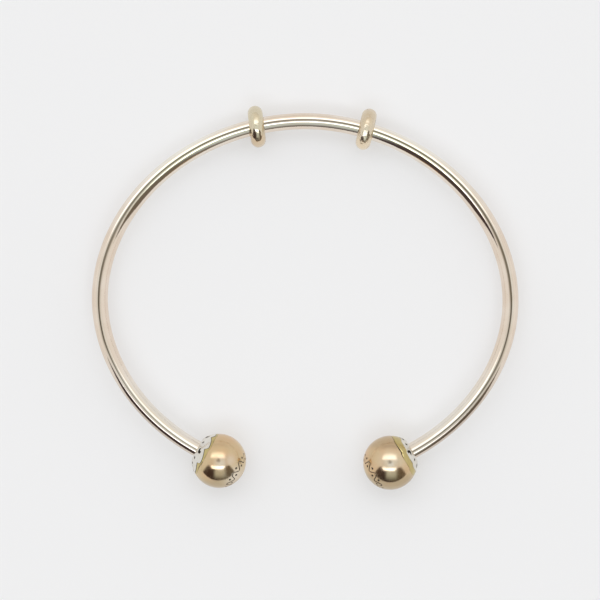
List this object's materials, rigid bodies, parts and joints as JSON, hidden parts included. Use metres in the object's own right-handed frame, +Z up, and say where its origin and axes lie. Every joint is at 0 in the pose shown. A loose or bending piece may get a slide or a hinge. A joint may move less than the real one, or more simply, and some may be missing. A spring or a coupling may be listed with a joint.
{
  "type": "cuff bangle",
  "caption": "Open oval wire bangle with a two-tone gold and silver ball on each end and small stopper rings at the back, lying flat.",
  "frame": {"origin": "on the table below the middle of the bangle, which rests on its two balls and its two stopper rings", "axes": "+Z up; X is the long way across the oval; the mouth between the balls faces -Y and the stopper rings are toward +Y"},
  "size_m": [0.0644, 0.0578, 0.0082],
  "materials": {
    "rose_silver": "polished, warm rose silver",
    "pale_gold": "polished pale gold",
    "gold": "polished rose gold",
    "oxidised_silver": "bright silver with small dark oxidised marks"
  },
  "bodies": {
    "root": {"bangle_wire": "rose_silver", "stopper_ring_left": "pale_gold", "stopper_ring_right": "pale_gold", "bead_collar_left": "oxidised_silver", "bead_collar_right": "oxidised_silver", "end_bead_left": "gold", "end_bead_right": "gold"}
  },
  "joints": []
}
